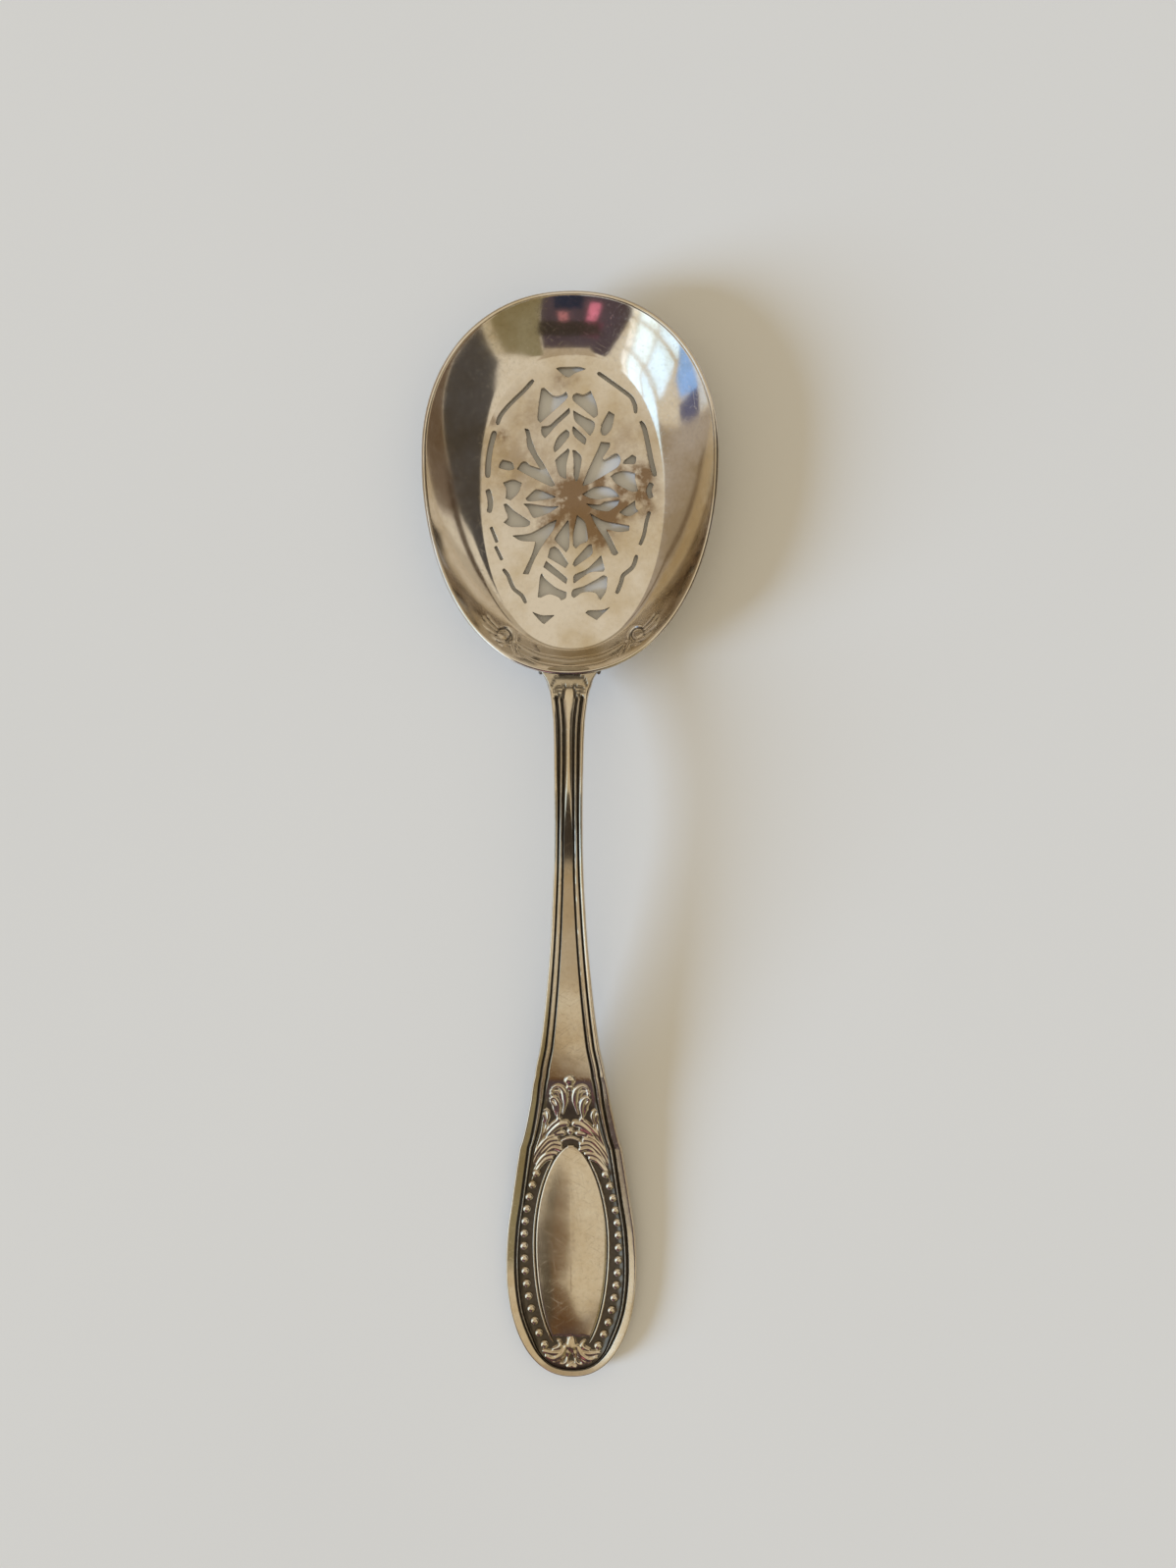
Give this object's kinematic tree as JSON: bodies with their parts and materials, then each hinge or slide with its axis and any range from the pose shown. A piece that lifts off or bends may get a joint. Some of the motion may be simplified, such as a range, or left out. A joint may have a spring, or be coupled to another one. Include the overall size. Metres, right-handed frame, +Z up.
{
  "type": "sifter spoon",
  "caption": "Serving sifter spoon with an egg-shaped, sawn-pierced bowl and an arched, die-struck handle with reeded edges and a beaded cartouche.",
  "frame": {"origin": "middle of the bowl's flat underside, on the surface that the spoon lies on", "axes": "+Y to the tip of the bowl, -Y to the end of the handle, +Z up out of the bowl, +X to the right seen from above"},
  "size_m": [0.0522, 0.1924, 0.011],
  "materials": {
    "polished_silver": "polished, lightly scratched",
    "struck_silver": "polished high points, dark tarnish in the recesses",
    "hard_solder": "dull"
  },
  "bodies": {
    "root": {"bowl": "polished_silver", "handle": "struck_silver", "solder_seam": "hard_solder"}
  },
  "joints": []
}
